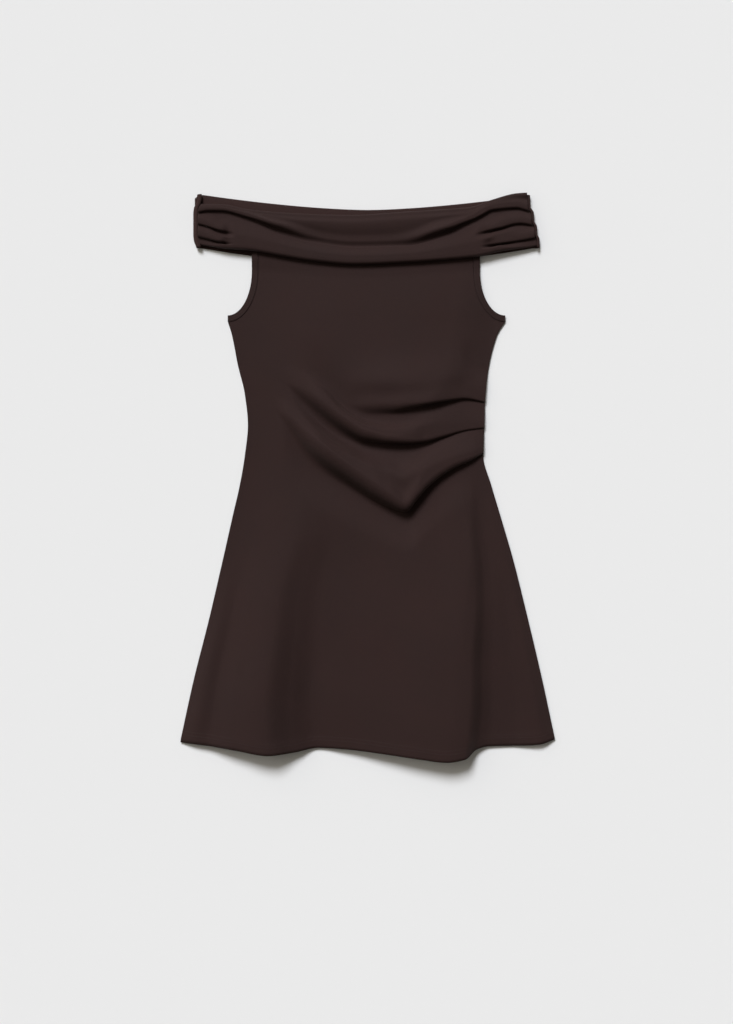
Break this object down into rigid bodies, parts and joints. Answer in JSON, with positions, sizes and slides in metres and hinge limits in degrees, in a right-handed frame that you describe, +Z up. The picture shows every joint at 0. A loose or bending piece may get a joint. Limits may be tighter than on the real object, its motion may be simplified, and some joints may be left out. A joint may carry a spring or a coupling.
{
  "type": "off-the-shoulder dress",
  "caption": "Short knitted dress laid flat, with a pleated band round the upper arms, a fitted bodice gathered into pleats at one side seam, and a flared skirt.",
  "frame": {"origin": "middle of the underside of the laid-out dress, on the surface that it lies on", "axes": "+X across the dress towards the wearer's left side, +Y up the dress towards the neckline, +Z up from the surface through the front"},
  "size_m": [0.544, 0.8206, 0.0356],
  "materials": {
    "brown_knit": "matt fine double knit",
    "brown_binding": "matt fine double knit, turned and stitched"
  },
  "bodies": {
    "root": {"front_panel": "brown_knit", "back_panel": "brown_knit", "band_front": "brown_knit", "band_back": "brown_knit", "armhole_binding_left_front": "brown_binding", "armhole_binding_left_back": "brown_binding", "armhole_binding_right_front": "brown_binding", "armhole_binding_right_back": "brown_binding"}
  },
  "joints": []
}
